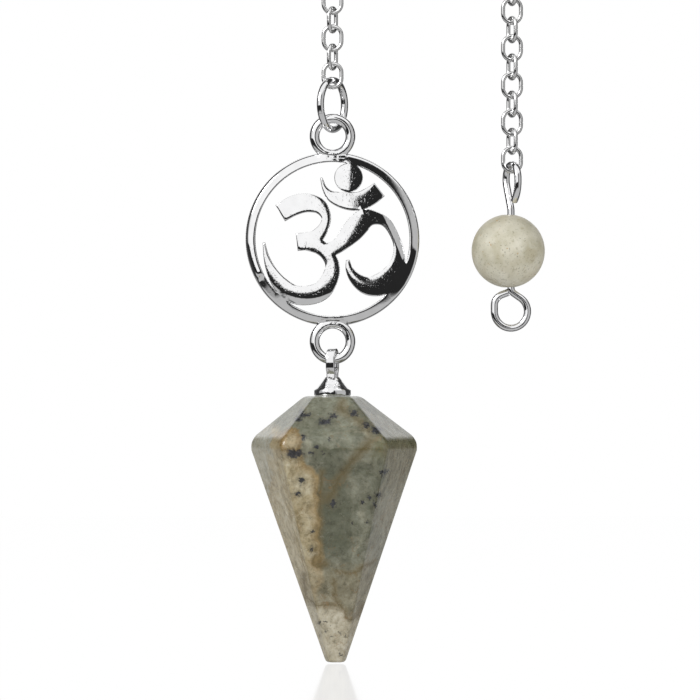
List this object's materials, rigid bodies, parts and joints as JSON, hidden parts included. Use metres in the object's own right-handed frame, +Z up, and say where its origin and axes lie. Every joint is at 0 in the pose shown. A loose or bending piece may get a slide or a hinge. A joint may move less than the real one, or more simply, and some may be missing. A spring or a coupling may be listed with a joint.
{
  "type": "pendulum pendant",
  "caption": "Pendulum pendant: a five-sided pointed stone drop under a pierced Om medallion, on a draped cable chain with a round bead on a wire pin at its free end.",
  "frame": {"origin": "the underside of the crest of the chain's arch, on the arch's centre plane, where a finger or a hook carries the chain", "axes": "+Z up, -Y is the front that shows the sign the right way round, +X to the right, towards the bead's run"},
  "size_m": [0.0327, 0.0174, 0.1403],
  "materials": {
    "chain_metal": "polished",
    "ring_metal": "polished",
    "cast_metal": "polished",
    "cap_metal": "polished",
    "drop_stone": "gloss",
    "pin_metal": "polished",
    "bead_stone": "satin"
  },
  "bodies": {
    "chain": {"chain": "chain_metal", "jump_ring": "ring_metal", "bead_pin": "pin_metal"},
    "medallion": {"medallion": "cast_metal"},
    "drop": {"cap": "cap_metal", "stone": "drop_stone"},
    "bead": {"bead": "bead_stone"}
  },
  "joints": [
    {"name": "medallion_swing", "type": "hinge", "parent": "chain", "child": "medallion", "pos_m": [-0.0098, 0, -0.07975], "axis": [0.4848, 0.8746, 0], "range_deg": [-25, 100]},
    {"name": "drop_swing", "type": "hinge", "parent": "medallion", "child": "drop", "pos_m": [-0.0098, 0, -0.10488], "axis": [1, 0, 0], "range_deg": [-110, 110]},
    {"name": "bead_spin", "type": "hinge", "parent": "chain", "child": "bead", "pos_m": [0.00969, 0.00028, -0.09303], "axis": [0, 0, 1], "continuous": true}
  ]
}
